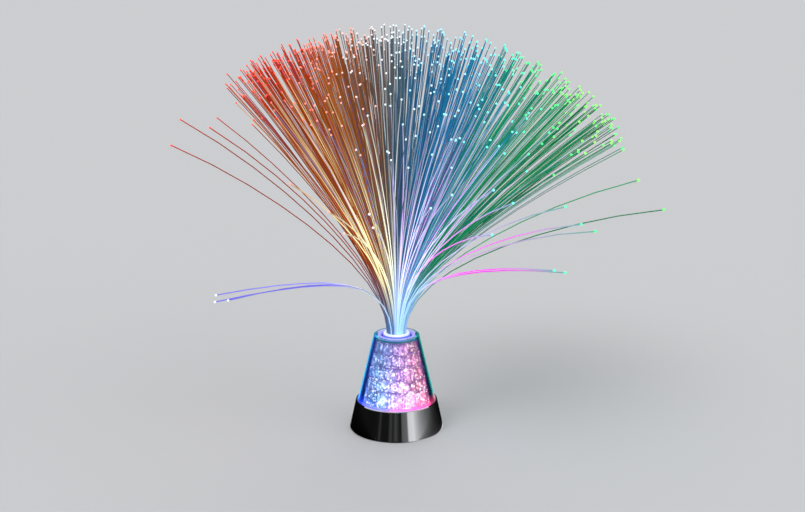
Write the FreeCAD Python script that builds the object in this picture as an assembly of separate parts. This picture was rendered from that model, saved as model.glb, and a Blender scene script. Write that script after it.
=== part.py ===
import FreeCAD, Part
import math
import os
from FreeCAD import Vector

# A battery fibre optic table lamp. A chromed base holds the cells, the switch and a board of
# coloured light sources. On it stands a clear cone filled with clear crystals, and a spray of
# light-carrying strands rises from a collar in the cone's top.
# Millimetres, +Z up. The origin is on the lamp's axis at table level, and -Y is its front.

# Cells and the bay that holds them
cell_radius = 7.25
cell_length = 49.3
cell_button_radius = 2.75
cell_button_height = 1.2
cell_gap = 0.2
cell_clearance = 0.3
terminal_space = 2.2
terminal_strip = 0.4
terminal_half_width = 4.0
terminal_half_height = 4.0
terminal_finger_width = 4.0
terminal_finger_gap = 0.1
terminal_finger_end = 0.6
bay_wall = 1.4
bay_corner = 5.0
bay_flange = 2.0

# Underside of the base
pad_thickness = 1.0
pad_width = 3.0
pad_edge = 0.4
plate_thickness = 1.6
plate_clearance = 0.3
rim_above_table = 0.4

# Chromed base cone
base_wall = 2.0
base_flare = 6.0
bay_to_shell = 2.2
edge_chamfer = 0.5
lip_width = 1.1
lip_chamfer = 0.7
seat_depth = 1.2
ledge_width = 5.0
ledge_thickness = 1.5

# Battery door
door_thickness = 1.3
door_gap = 0.3
hook_width = 3.6
hook_reach = 1.6
hook_thickness = 1.2
latch_width = 9.0
latch_reach = 1.4
grip_groove_width = 0.8
grip_groove_depth = 0.4
grip_groove_count = 4

# Slide switch
switch_length = 13.0
switch_width = 6.4
switch_height = 5.4
switch_from_bay = 4.1
knob_size = 2.6
knob_above_table = 0.5
slider_length = 5.0
slider_thickness = 1.5
slider_overhang = 0.5
switch_travel = 4.0
switch_clearance = 0.35

# USB power socket
usb_width = 8.94
usb_height = 3.26
usb_depth = 7.3
usb_wall = 0.3
usb_tongue_width = 6.7
usb_tongue_thickness = 0.7
usb_tongue_length = 5.6
usb_board_width = 13.0
usb_board_length = 12.0
usb_board_thickness = 1.0
usb_level = 12.0
usb_behind_wall = 0.9
usb_window_width = 12.8
usb_window_height = 7.0
usb_post_width = 2.4
usb_post_inset = 2.0
usb_board_recess = 0.4

# Light board
board_corner_radius = 30.0
board_sides = 8
board_thickness = 1.6
board_post_height = 2.0
board_post_radius = 2.5
board_post_out = 18.0
board_post_angle = 30.0
led_size = 5.0
led_height = 1.6
led_out = 5.2
crystal_led_out = 24.0
crystal_led_count = 6
chip_length = 8.0
chip_width = 5.0
chip_height = 1.5
chip_out = 14.0
light_gap = 2.1

# Wires, each a flat twin lead
lead_width = 2.4
lead_thickness = 1.0
lead_tail = 6.0
lead_on_board = 1.0
lead_below_cell_axis = 2.0

# Screws
base_screw_radius = 1.3
base_screw_head_radius = 2.2
base_screw_head = 0.9
base_screw_length = 8.0
base_boss_radius = 2.6
base_boss_clearance = 0.3
board_screw_radius = 1.1
board_screw_head_radius = 2.1
board_screw_head = 1.2
board_screw_length = 4.4
thread_clearance = 0.05
screw_hole_spare = 1.0

# Clear cone
cone_wall = 2.0
cone_height = 63.4
cone_foot_height = 2.0
cone_foot_step = 0.4
rim_chamfer = 0.5
seat_clearance = 0.1
floor_thickness = 1.5

# Collar, lid and light tube
bundle_radius = 9.2
bundle_clearance = 0.08
collar_wall = 1.55
collar_flange_width = 1.0
collar_flange_height = 1.6
collar_length = 30.0
collar_clearance = 0.1
hub_wall = 1.6
lid_web_width = 2.4
lid_ring_width = 2.2
lid_ring_height = 1.5
lid_rim_width = 1.6
lid_thickness = 1.6
lid_below_rim = 1.8
lid_clearance = 0.1
bundle_below_collar = 1.0

# Crystals
crystal_size = 11.6
crystal_tier_count = 5
crystal_gap = 0.3
crystal_jitter = 2.6
crystal_wall_gap = 0.35
wall_facet_angle = 15.0

# Strands
strand_width = 0.7
strand_count = 98
strand_ring_count = 7
strand_length = 277.0
strand_length_spread = 6.0
strand_bend_length = 45.0
strand_lean = 43.0
strand_lean_right = 9.0
strand_sag = 7.0
strand_edge_gap = 0.05
strand_stray_gap = 0.5
strand_span_count = 4
stray_span_count = 5
golden_angle = 137.508

# The strands that stand out of the fan: azimuth, lean, sag and share of the usual length
stray_strands = [
    (20.0, 57.0, 10.0, 1.01),
    (60.0, 52.0, 12.0, 1.0),
    (96.0, 55.0, 12.0, 1.01),
    (150.0, 50.0, 12.0, 1.0),
    (187.0, 44.0, 15.0, 1.01),
    (196.0, 49.0, 15.0, 0.99),
    (207.0, 41.0, 15.0, 0.97),
    (238.0, 81.0, 4.0, 1.0),
    (248.0, 52.0, 15.0, 1.0),
    (257.0, 57.0, 15.0, 0.99),
    (266.0, 60.0, 15.0, 1.0),
    (277.0, 56.0, 15.0, 0.99),
    (288.0, 62.0, 15.0, 1.0),
    (301.0, 74.0, 7.0, 1.0),
    (311.0, 64.0, 15.0, 1.0),
    (339.0, 65.0, 15.0, 1.02),
]

# Levels, from the table up
plate_bottom = pad_thickness
plate_top = plate_bottom + plate_thickness
cell_axis = plate_top + cell_clearance + cell_radius
bay_inside_top = cell_axis + cell_radius + cell_clearance
bay_top = bay_inside_top + bay_wall
board_bottom = bay_top + board_post_height
board_top = board_bottom + board_thickness
led_top = board_top + led_height
seat_level = led_top + light_gap
base_top = seat_level + seat_depth
rim_level = seat_level + cone_height
floor_top = seat_level + floor_thickness
lid_top = rim_level - lid_below_rim
lid_bottom = lid_top - lid_thickness
hub_top = lid_top + lid_below_rim
collar_top = hub_top + collar_flange_height
collar_bottom = hub_top - collar_length
door_top = plate_bottom + door_thickness

# Plan sizes of the bay
cell_pitch = 2 * cell_radius + cell_gap
bay_inside_half_length = (cell_length + cell_button_height) / 2 + terminal_space
bay_inside_half_width = cell_pitch + cell_radius + cell_clearance
bay_half_length = bay_inside_half_length + bay_wall
bay_half_width = bay_inside_half_width + bay_wall
bay_reach = math.hypot(bay_half_length - bay_corner, bay_half_width - bay_corner) + bay_corner

# Radii of the base and of what stands on it
base_top_radius = bay_reach + bay_to_shell
foot_radius = base_top_radius + base_flare
seat_radius = base_top_radius - lip_width
cone_foot_radius = seat_radius - seat_clearance
cone_bottom_radius = cone_foot_radius - cone_foot_step
cone_inside_bottom = cone_bottom_radius - cone_wall
collar_bore = bundle_radius + bundle_clearance
collar_radius = collar_bore + collar_wall
hub_bore = collar_radius + collar_clearance
hub_radius = hub_bore + hub_wall
lid_ring_inside = hub_radius + lid_web_width
lid_ring_outside = lid_ring_inside + lid_ring_width
lid_radius = lid_ring_outside + lid_rim_width
rim_radius = lid_radius + lid_clearance + cone_wall
cone_inside_top = rim_radius - cone_wall


def base_outside(z):
    """Outer radius of the chromed cone at a height."""
    return foot_radius - base_flare * (z - rim_above_table) / (base_top - rim_above_table)


def base_inside(z):
    return base_outside(z) - base_wall


def cone_inside(z):
    """Inner radius of the clear cone at a height."""
    up = (z - seat_level) / cone_height
    return cone_inside_bottom + (cone_inside_top - cone_inside_bottom) * up


plate_radius = base_inside(plate_top) - plate_clearance
pad_radius = plate_radius - pad_edge


def save(name, solids):
    """Writes one node, made of one solid or of several like ones."""
    shape = Part.makeCompound(solids) if isinstance(solids, list) else solids
    shape.exportStep(os.path.join("parts", name + ".step"))


def block(x, y, z):
    """A box given by its ranges along X, Y and Z."""
    return Part.makeBox(x[1] - x[0], y[1] - y[0], z[1] - z[0], Vector(x[0], y[0], z[0]))


def rod(radius, bottom, top, x=0.0, y=0.0):
    return Part.makeCylinder(radius, top - bottom, Vector(x, y, bottom))


def turned(outline):
    """A solid turned about the lamp's axis from a closed outline of (radius, height) points."""
    points = [Vector(r, 0, z) for r, z in outline]
    face = Part.Face(Part.makePolygon(points + points[:1]))
    return face.revolve(Vector(0, 0, 0), Vector(0, 0, 1), 360)


def ring(inside, outside, bottom, top):
    return turned([(inside, bottom), (outside, bottom), (outside, top), (inside, top)])


def rounded_plate(half_length, half_width, corner, bottom, top):
    """A plate with rounded corners, centred on the lamp's axis."""
    plate = block((-half_length, half_length), (-half_width, half_width), (bottom, top))
    upright = [e for e in plate.Edges if abs(e.tangentAt(e.FirstParameter).z) > 0.5]
    return plate.makeFillet(corner, upright)


def extruded(points, direction):
    """A prism from a closed outline of points, pushed along a direction."""
    return Part.Face(Part.makePolygon(points + points[:1])).extrude(direction)


def base_boss_places():
    x = bay_half_length + bay_flange + base_boss_clearance + base_boss_radius
    return [(-x, 0.0), (x, 0.0)]


def board_post_places():
    x = board_post_out * math.cos(math.radians(board_post_angle))
    y = board_post_out * math.sin(math.radians(board_post_angle))
    return [(-x, -y), (x, y)]


def hook_places():
    """Where the door's two hooks pass between the cells."""
    return [-cell_pitch / 2, cell_pitch / 2]


# The chromed base: a moulded cone with a lip for the clear cone, a ledge inside the lip, two
# screw bosses that hang from the ledge and a window for the power plug at the back.
def base_shell():
    ledge_inside = seat_radius - ledge_width
    ledge_bottom = seat_level - ledge_thickness
    lip_radius = base_outside(base_top - lip_chamfer)
    shell = turned([
        (base_inside(rim_above_table), rim_above_table),
        (foot_radius - edge_chamfer, rim_above_table),
        (base_outside(rim_above_table + edge_chamfer), rim_above_table + edge_chamfer),
        (lip_radius, base_top - lip_chamfer),
        (base_top_radius - lip_chamfer, base_top),
        (seat_radius, base_top),
        (seat_radius, seat_level),
        (ledge_inside, seat_level),
        (ledge_inside, ledge_bottom),
        (base_inside(ledge_bottom), ledge_bottom),
    ])
    for x, y in base_boss_places():
        boss = rod(base_boss_radius, plate_top, seat_level - ledge_thickness / 2, x, y)
        shell = shell.fuse(boss)
    for x, y in base_boss_places():
        hole_top = plate_top + base_screw_length + screw_hole_spare
        shell = shell.cut(rod(base_screw_radius + thread_clearance, plate_top, hole_top, x, y))
    window = block(
        (-usb_window_width / 2, usb_window_width / 2),
        (base_inside(usb_level) - base_wall, foot_radius),
        (usb_level - usb_window_height / 2, usb_level + usb_window_height / 2),
    )
    return shell.cut(window)


# The black closing plate under the base, with the openings for the door and the switch knob,
# holes for its two screws and two posts that carry the socket's board.
def base_plate():
    plate = rod(plate_radius, plate_bottom, plate_top)
    opening = rounded_plate(
        bay_half_length + door_gap,
        bay_half_width + door_gap,
        bay_corner + door_gap,
        plate_bottom,
        plate_top,
    )
    latch_notch = block(
        (0, bay_half_length + latch_reach + 2 * door_gap),
        (-latch_width / 2 - door_gap, latch_width / 2 + door_gap),
        (plate_bottom, plate_top),
    )
    knob_slot = block(
        (-(knob_size + switch_travel) / 2 - switch_clearance,
         (knob_size + switch_travel) / 2 + switch_clearance),
        (switch_middle() - knob_size / 2 - switch_clearance,
         switch_middle() + knob_size / 2 + switch_clearance),
        (plate_bottom, plate_top),
    )
    plate = plate.cut(opening).cut(latch_notch).cut(knob_slot)
    for x, y in base_boss_places():
        plate = plate.cut(rod(base_screw_radius + thread_clearance, plate_bottom, plate_top, x, y))
    for side in (-1, 1):
        middle = side * (usb_board_width - usb_post_width) / 2
        post = block(
            (middle - usb_post_width / 2, middle + usb_post_width / 2),
            (usb_back() + usb_post_inset, usb_back() + usb_post_inset + usb_post_width),
            (plate_top, usb_board_top() - usb_board_thickness),
        )
        plate = plate.fuse(post)
    return plate


def foot_pad():
    return ring(pad_radius - pad_width, pad_radius, 0.0, pad_thickness)


# The bay is a box open downwards. Its flange lies on the plate, its roof carries the light
# board on two posts, and two notches in one end let the door's hooks through.
def battery_bay():
    bay = rounded_plate(bay_half_length, bay_half_width, bay_corner, plate_top, bay_top)
    flange = rounded_plate(
        bay_half_length + bay_flange,
        bay_half_width + bay_flange,
        bay_corner + bay_flange,
        plate_top,
        plate_top + bay_wall,
    )
    inside = rounded_plate(
        bay_inside_half_length,
        bay_inside_half_width,
        bay_corner - bay_wall,
        plate_top,
        bay_inside_top,
    )
    bay = bay.fuse(flange).cut(inside)
    for y in hook_places():
        notch = block(
            (-bay_half_length - bay_flange - 1.0, -bay_inside_half_length + 1.0),
            (y - hook_width / 2 - door_gap, y + hook_width / 2 + door_gap),
            (plate_top, hook_top() + door_gap),
        )
        bay = bay.cut(notch)
    for x, y in board_post_places():
        bay = bay.fuse(rod(board_post_radius, bay_top, board_bottom, x, y))
    for x, y in board_post_places():
        hole = rod(board_screw_radius + thread_clearance, bay_inside_top, board_bottom, x, y)
        bay = bay.cut(hole)
    return bay


def hook_top():
    return plate_top + door_gap + hook_thickness


# The door fills the plate's opening. Two hooks reach over the plate's edge at one end, rounded
# about the line that the door turns on, and a finger latch with grip grooves is at the other.
def battery_door():
    door = rounded_plate(bay_half_length, bay_half_width, bay_corner, plate_bottom, door_top)
    latch = block(
        (0, bay_half_length + latch_reach),
        (-latch_width / 2, latch_width / 2),
        (plate_bottom, door_top),
    )
    door = door.fuse(latch)
    for y in hook_places():
        wide = (y - hook_width / 2, y + hook_width / 2)
        neck = block(
            (-bay_half_length, -bay_half_length + hook_thickness), wide, (door_top, hook_top())
        )
        arm = block(
            (-bay_half_length - hook_reach, -bay_half_length + hook_thickness),
            wide,
            (plate_top + door_gap, hook_top()),
        )
        rounding = Part.makeCylinder(
            hook_top() - plate_bottom,
            hook_width,
            Vector(-bay_half_length, y - hook_width / 2, plate_bottom),
            Vector(0, 1, 0),
        )
        door = door.fuse(neck.fuse(arm).common(rounding))
    for i in range(grip_groove_count):
        x = bay_half_length - 2 * grip_groove_width * (i + 1)
        groove = block(
            (x, x + grip_groove_width),
            (-latch_width / 2, latch_width / 2),
            (plate_bottom, plate_bottom + grip_groove_depth),
        )
        door = door.cut(groove)
    return door


# Three cells lie side by side along X, every second one turned round.
def battery(i):
    y = (i - 1) * cell_pitch
    turn = 1 if i % 2 == 0 else -1
    whole = cell_length + cell_button_height
    can = Part.makeCylinder(
        cell_radius, cell_length, Vector(-turn * whole / 2, y, cell_axis), Vector(turn, 0, 0)
    )
    button = Part.makeCylinder(
        cell_button_radius,
        cell_button_height,
        Vector(turn * (whole / 2 - cell_button_height), y, cell_axis),
        Vector(turn, 0, 0),
    )
    return can.fuse(button)


# A terminal is a strip of spring metal on the bay's end wall, with one bowed finger for each
# cell that it touches. A strip with two fingers joins two cells.
def terminal(end, cells):
    low, high = cell_axis - terminal_half_height, cell_axis + terminal_half_height
    middles = [(i - 1) * cell_pitch for i in cells]
    wall = end * bay_inside_half_length
    front = wall - end * terminal_strip
    root = wall - end * terminal_strip / 2
    touch = wall - end * (terminal_space - terminal_finger_gap)
    body = block(
        sorted((front, wall)),
        (min(middles) - terminal_half_width, max(middles) + terminal_half_width),
        (low, high),
    )
    for middle in middles:
        y = middle - terminal_finger_width / 2
        outline = [
            Vector(root, y, low + terminal_finger_end),
            Vector(touch, y, cell_axis),
            Vector(root, y, high - terminal_finger_end),
            Vector(root, y, high - terminal_finger_end - 2 * terminal_strip),
            Vector(touch + end * terminal_strip, y, cell_axis),
            Vector(root, y, low + terminal_finger_end + 2 * terminal_strip),
        ]
        body = body.fuse(extruded(outline, Vector(0, terminal_finger_width, 0)))
    return body


def switch_middle():
    """The switch lies in front of the bay."""
    return -(bay_half_width + switch_from_bay + switch_width / 2)


def slider_bottom():
    return plate_top + switch_clearance


def switch_body():
    y = switch_middle()
    half_cavity = (slider_length + switch_travel) / 2 + switch_clearance
    half_wide = knob_size / 2 + slider_overhang + switch_clearance
    body = block(
        (-switch_length / 2, switch_length / 2),
        (y - switch_width / 2, y + switch_width / 2),
        (plate_top, plate_top + switch_height),
    )
    cavity = block(
        (-half_cavity, half_cavity),
        (y - half_wide, y + half_wide),
        (plate_top, slider_bottom() + slider_thickness + switch_clearance),
    )
    return body.cut(cavity)


def switch_knob():
    """The slider and its knob, at the end of the travel where the lamp is on."""
    x, y = -switch_travel / 2, switch_middle()
    half_wide = knob_size / 2 + slider_overhang
    slider = block(
        (x - slider_length / 2, x + slider_length / 2),
        (y - half_wide, y + half_wide),
        (slider_bottom(), slider_bottom() + slider_thickness),
    )
    knob = block(
        (x - knob_size / 2, x + knob_size / 2),
        (y - knob_size / 2, y + knob_size / 2),
        (knob_above_table, slider_bottom()),
    )
    return slider.fuse(knob)


def usb_mouth():
    return base_inside(usb_level) - usb_behind_wall


def usb_back():
    return usb_mouth() - usb_board_length


def usb_board_top():
    return usb_level - usb_height / 2


def obround_bar(width, height, length):
    """A bar with half-round sides along Y, that ends at the socket's mouth."""
    bar = block(
        (-width / 2, width / 2),
        (usb_mouth() - length, usb_mouth()),
        (usb_level - height / 2, usb_level + height / 2),
    )
    along = [e for e in bar.Edges if abs(e.tangentAt(e.FirstParameter).y) > 0.5]
    return bar.makeFillet(0.49 * height, along)


def usb_shell():
    """The metal sleeve of the socket, open at the mouth and closed at the back."""
    inside = obround_bar(usb_width - 2 * usb_wall, usb_height - 2 * usb_wall, usb_depth - usb_wall)
    return obround_bar(usb_width, usb_height, usb_depth).cut(inside)


def usb_tongue():
    back = usb_mouth() - usb_depth + usb_wall
    return block(
        (-usb_tongue_width / 2, usb_tongue_width / 2),
        (back, back + usb_tongue_length),
        (usb_level - usb_tongue_thickness / 2, usb_level + usb_tongue_thickness / 2),
    )


def usb_board():
    return block(
        (-usb_board_width / 2, usb_board_width / 2),
        (usb_back(), usb_mouth() - usb_board_recess),
        (usb_board_top() - usb_board_thickness, usb_board_top()),
    )


def light_board():
    step = math.tau / board_sides
    corners = [
        Vector(
            board_corner_radius * math.cos(step * (i + 0.5)),
            board_corner_radius * math.sin(step * (i + 0.5)),
            board_bottom,
        )
        for i in range(board_sides)
    ]
    board = extruded(corners, Vector(0, 0, board_thickness))
    for x, y in board_post_places():
        board = board.cut(rod(board_screw_radius + thread_clearance, board_bottom, board_top, x, y))
    return board


def led(angle, out):
    """One flat light source on the board, at an angle and a distance from the axis."""
    a = math.radians(angle)
    x, y = out * math.cos(a), out * math.sin(a)
    half = led_size / 2
    return block((x - half, x + half), (y - half, y + half), (board_top, led_top))


def crystal_leds():
    """The light sources that shine up into the crystals."""
    step = 360.0 / crystal_led_count
    return [led(step * i, crystal_led_out) for i in range(crystal_led_count)]


def control_chip():
    return block(
        (-chip_out - chip_length / 2, -chip_out + chip_length / 2),
        (-chip_width / 2, chip_width / 2),
        (board_top, board_top + chip_height),
    )


def lead(along, across, start_level, out):
    """A flat twin lead: up from a level at a distance from the axis, then in under the board.

    along is the direction away from the axis, and across the place at right angles to it.
    """
    side = Vector(-along.y, along.x, 0)
    turn = board_bottom - lead_thickness

    def at(distance, z):
        return along * distance + side * (across - lead_width / 2) + Vector(0, 0, z)

    outline = [
        at(out, start_level),
        at(out + lead_thickness, start_level),
        at(out + lead_thickness, turn),
        at(out, board_bottom),
        at(out - lead_tail, board_bottom),
        at(out - lead_tail, turn),
        at(out, turn),
    ]
    return extruded(outline, side * lead_width)


def screw(x, y, head_level, direction, radius, head_radius, head, length):
    """A pan screw whose head starts at a level. direction is 1 for a screw that points up."""
    z = Vector(0, 0, direction)
    top = Part.makeCylinder(head_radius, head, Vector(x, y, head_level), z)
    shank = Part.makeCylinder(radius, length, Vector(x, y, head_level + direction * head), z)
    return top.fuse(shank)


def base_screws():
    return [
        screw(x, y, plate_bottom - base_screw_head, 1, base_screw_radius,
              base_screw_head_radius, base_screw_head, base_screw_length)
        for x, y in base_boss_places()
    ]


def board_screws():
    return [
        screw(x, y, board_top + board_screw_head, -1, board_screw_radius,
              board_screw_head_radius, board_screw_head, board_screw_length)
        for x, y in board_post_places()
    ]


# The clear cone stands with its foot on the base's ledge. The crystals lie on a clear floor.
def cone_shell():
    foot_top = seat_level + cone_foot_height
    return turned([
        (cone_inside(seat_level), seat_level),
        (cone_foot_radius, seat_level),
        (cone_foot_radius, foot_top - cone_foot_step),
        (cone_inside(foot_top) + cone_wall, foot_top),
        (cone_inside(rim_level - rim_chamfer) + cone_wall, rim_level - rim_chamfer),
        (rim_radius - rim_chamfer, rim_level),
        (cone_inside_top, rim_level),
    ])


def crystal_floor():
    edge = cone_inside(floor_top) - seat_clearance
    return rod(edge, seat_level, floor_top)


# The clear lid is pushed up into the cone from below. It has a raised ring, a hub for the collar
# and, in one piece with the hub, a tube that carries the light through the crystals to the bundle.
def lid():
    return turned([
        (hub_bore, floor_top),
        (hub_radius, floor_top),
        (hub_radius, lid_bottom),
        (cone_inside(lid_bottom) - lid_clearance, lid_bottom),
        (cone_inside(lid_top) - lid_clearance, lid_top),
        (lid_ring_outside, lid_top),
        (lid_ring_outside, lid_top + lid_ring_height),
        (lid_ring_inside, lid_top + lid_ring_height),
        (lid_ring_inside, lid_top),
        (hub_radius, lid_top),
        (hub_radius, hub_top),
        (hub_bore, hub_top),
    ])


def collar():
    """The milky sleeve round the bundle, whose flange rests on the lid's hub."""
    flange = collar_radius + collar_flange_width
    return turned([
        (collar_bore, collar_bottom),
        (collar_radius, collar_bottom),
        (collar_radius, hub_top),
        (flange, hub_top),
        (flange, collar_top),
        (collar_bore, collar_top),
    ])


def bundle():
    """The strands' lower ends, glued into one rod with a polished lower face."""
    return rod(bundle_radius, collar_bottom - bundle_below_collar, collar_top)


# Crystals: the space between the light tube and the cone is shared out among seed points, so
# that each crystal is the convex piece of space nearest to its own seed, less a small gap.
def scatter(i, j):
    """A repeatable number from -1 to 1."""
    return 2 * ((math.sin(12.9898 * i + 78.233 * j) * 43758.5453) % 1.0) - 1


def crystal_seeds():
    """Seeds in tiers, and in each tier in one ring or more round the light tube."""
    space = lid_bottom - floor_top
    tiers = []
    for t in range(crystal_tier_count):
        z = floor_top + space * (t + 0.5) / crystal_tier_count
        width = cone_inside(z) - hub_radius
        ring_count = max(1, round(width / crystal_size))
        seeds = []
        for r in range(ring_count):
            radius = hub_radius + width * (r + 0.5) / ring_count
            count = round(math.tau * radius / crystal_size)
            for i in range(count):
                a = math.tau * (i + 0.5 * (t % 2) + 0.3 * r) / count
                k = 100 * t + 30 * r + i
                seeds.append(Vector(
                    radius * math.cos(a) + crystal_jitter * scatter(k, 1) / 2,
                    radius * math.sin(a) + crystal_jitter * scatter(k, 2) / 2,
                    z + crystal_jitter * scatter(k, 3) / 2,
                ))
        tiers.append(seeds)
    return tiers


def clip(faces, point, normal):
    """Cuts a convex solid, given as a list of corner loops, by a plane, and closes the cut."""
    kept, rim = [], []
    for loop in faces:
        heights = [(p - point).dot(normal) for p in loop]
        part = []
        for i, p in enumerate(loop):
            q, hp, hq = loop[(i + 1) % len(loop)], heights[i], heights[(i + 1) % len(loop)]
            if hp <= 0:
                part.append(p)
            if (hp < 0 < hq) or (hq < 0 < hp):
                cross = p + (q - p) * (hp / (hp - hq))
                part.append(cross)
                rim.append(cross)
        if len(part) > 2:
            kept.append(part)
    if len(rim) > 2:
        kept.append(round_loop(rim, normal))
    return kept


def round_loop(points, normal):
    """The separate points of a cut, in order round their middle."""
    single = []
    for p in points:
        if all((p - q).Length > 1e-6 for q in single):
            single.append(p)
    middle = sum(single, Vector()) * (1.0 / len(single))
    u = (single[0] - middle).normalize()
    v = normal.cross(u)
    return sorted(single, key=lambda p: math.atan2((p - middle).dot(v), (p - middle).dot(u)))


def wall_planes(seed):
    """Planes that keep a crystal off the floor, the lid, the light tube and the cone."""
    azimuth = math.degrees(math.atan2(seed.y, seed.x))
    out = Vector(math.cos(math.radians(azimuth)), math.sin(math.radians(azimuth)), 0)
    planes = [
        (Vector(0, 0, floor_top + crystal_wall_gap / 2), Vector(0, 0, -1)),
        (Vector(0, 0, lid_bottom - crystal_wall_gap), Vector(0, 0, 1)),
        (out * (hub_radius + crystal_wall_gap), -out),
    ]
    slope = (cone_inside_bottom - cone_inside_top) / cone_height
    for step in range(-2, 3):
        a = math.radians(azimuth + step * wall_facet_angle)
        out = Vector(math.cos(a), math.sin(a), 0)
        planes.append((
            out * (cone_inside_bottom - crystal_wall_gap) + Vector(0, 0, seat_level),
            Vector(out.x, out.y, slope).normalize(),
        ))
    return planes


def crystal(seed, seeds):
    reach = 2 * crystal_size
    corner = [
        Vector(seed.x + i * reach, seed.y + j * reach, seed.z + k * reach)
        for i in (-1, 1) for j in (-1, 1) for k in (-1, 1)
    ]
    sides = [(0, 1, 3, 2), (4, 6, 7, 5), (0, 4, 5, 1), (2, 3, 7, 6), (0, 2, 6, 4), (1, 5, 7, 3)]
    faces = [[corner[i] for i in side] for side in sides]
    near = [s for s in seeds if 0 < (s - seed).Length < 2 * reach]
    for s in sorted(near, key=lambda s: (s - seed).Length):
        away = s - seed
        half = away.Length / 2 - crystal_gap / 2
        away = away.normalize()
        faces = clip(faces, seed + away * half, away)
    for point, normal in wall_planes(seed):
        faces = clip(faces, point, normal)
    flat = [Part.Face(Part.makePolygon(loop + loop[:1])) for loop in map(cleaned, faces) if loop]
    shell = Part.makeShell(flat)
    shell.sewShape()
    solid = Part.Solid(shell)
    return solid if solid.Volume > 0 else solid.reversed()


def cleaned(loop):
    """A loop without the corners that lie on each other."""
    kept = []
    for p in loop:
        if not kept or (p - kept[-1]).Length > 1e-5:
            kept.append(p)
    while len(kept) > 1 and (kept[0] - kept[-1]).Length < 1e-5:
        kept.pop()
    return kept if len(kept) > 2 else []


# Strands: each stands upright in the collar and bends outward over its first few centimetres,
# more the further out it starts, so that no two cross. Each lies in a plane through the axis.
def strand(azimuth, start, lean, sag, length, spans):
    """One strand of square section, as the prism of its side outline.

    lean is the angle from upright that the bend ends at, and sag what its weight adds at the tip.
    """
    steps_per_span = 8
    r, z, s = start, collar_top, 0.0
    points = [(r, z, 0.0)]
    for span in range(spans):
        end = length * ((span + 1) / spans) ** 1.8
        step = (end - s) / steps_per_span
        for _ in range(steps_per_span):
            tilt = strand_tilt(s + step / 2, lean, sag, length)
            r += step * math.sin(tilt)
            z += step * math.cos(tilt)
            s += step
        points.append((r, z, strand_tilt(s, lean, sag, length)))
    half = strand_width / 2
    outer = [(r + half * math.cos(t), z - half * math.sin(t)) for r, z, t in points]
    inner = [(r - half * math.cos(t), z + half * math.sin(t)) for r, z, t in points]
    a = math.radians(azimuth)
    out, side = Vector(math.cos(a), math.sin(a), 0), Vector(-math.sin(a), math.cos(a), 0)
    outline = [out * r - side * half + Vector(0, 0, z) for r, z in outer + inner[::-1]]
    return extruded(outline, side * strand_width)


def strand_tilt(s, lean, sag, length):
    bend = 1 - math.exp(-s / strand_bend_length)
    return math.radians(lean * bend + sag * (s / length) ** 2)


def strand_rings():
    """The fan's strands on a sunflower pattern, in groups from the middle outward."""
    room = stray_start() - strand_stray_gap - 1.5 * strand_width
    made = []
    for i in range(strand_count):
        share = math.sqrt((i + 0.5) / strand_count)
        azimuth = i * golden_angle % 360.0
        most = strand_lean + strand_lean_right * math.cos(math.radians(azimuth))
        length = strand_length + strand_length_spread * scatter(i, 7)
        lean, sag = share * most, share * strand_sag
        made.append(strand(azimuth, share * room, lean, sag, length, strand_span_count))
    size = math.ceil(strand_count / strand_ring_count)
    return [made[i:i + size] for i in range(0, strand_count, size)]


def stray_start():
    """The strays start at the bundle's edge, outside the fan."""
    return bundle_radius - strand_edge_gap - strand_width / 2


def strays():
    made = []
    for azimuth, lean, sag, share in stray_strands:
        length = share * strand_length
        made.append(strand(azimuth, stray_start(), lean, sag, length, stray_span_count))
    return made


def main():
    os.makedirs("parts", exist_ok=True)
    save("base_shell", base_shell())
    save("base_plate", base_plate())
    save("foot_pad", foot_pad())
    save("battery_bay", battery_bay())
    save("battery_door", battery_door())
    for i in range(3):
        save("battery_%d" % (i + 1), battery(i))
    save("terminal_positive", terminal(1, [0]))
    save("terminal_bridge_right", terminal(1, [1, 2]))
    save("terminal_bridge_left", terminal(-1, [0, 1]))
    save("terminal_negative", terminal(-1, [2]))
    save("switch_body", switch_body())
    save("switch_knob", switch_knob())
    save("usb_shell", usb_shell())
    save("usb_tongue", usb_tongue())
    save("usb_board", usb_board())
    save("light_board", light_board())
    save("led_red", led(180, led_out))
    save("led_green", led(60, led_out))
    save("led_blue", led(300, led_out))
    save("crystal_leds", crystal_leds())
    save("control_chip", control_chip())
    lead_start = cell_axis - lead_below_cell_axis
    save("lead_battery", lead(Vector(1, 0, 0), cell_pitch, lead_start, bay_half_length))
    save("lead_switch", lead(Vector(0, -1, 0), 0.0, plate_top + switch_height, -switch_middle()))
    save("lead_usb", lead(Vector(0, 1, 0), 0.0, usb_board_top(), usb_back() + lead_on_board))
    save("base_screws", base_screws())
    save("board_screws", board_screws())
    save("cone_shell", cone_shell())
    save("crystal_floor", crystal_floor())
    save("lid", lid())
    tiers = crystal_seeds()
    seeds = [s for tier in tiers for s in tier]
    for i, tier in enumerate(tiers):
        save("crystals_tier_%d" % (i + 1), [crystal(s, seeds) for s in tier])
    save("collar", collar())
    save("bundle", bundle())
    for i, group in enumerate(strand_rings()):
        save("strands_ring_%d" % (i + 1), group)
    save("strands_stray", strays())
    print("base %.1f mm across, cone rim at %.1f mm" % (2 * foot_radius, rim_level))
    print("door turns about x %.2f, z %.2f mm" % (-bay_half_length, plate_bottom))
    print("plug window's shell from y %.1f to %.1f mm" % (base_inside(usb_level), base_outside(usb_level)))


main()
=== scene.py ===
import math

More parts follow.
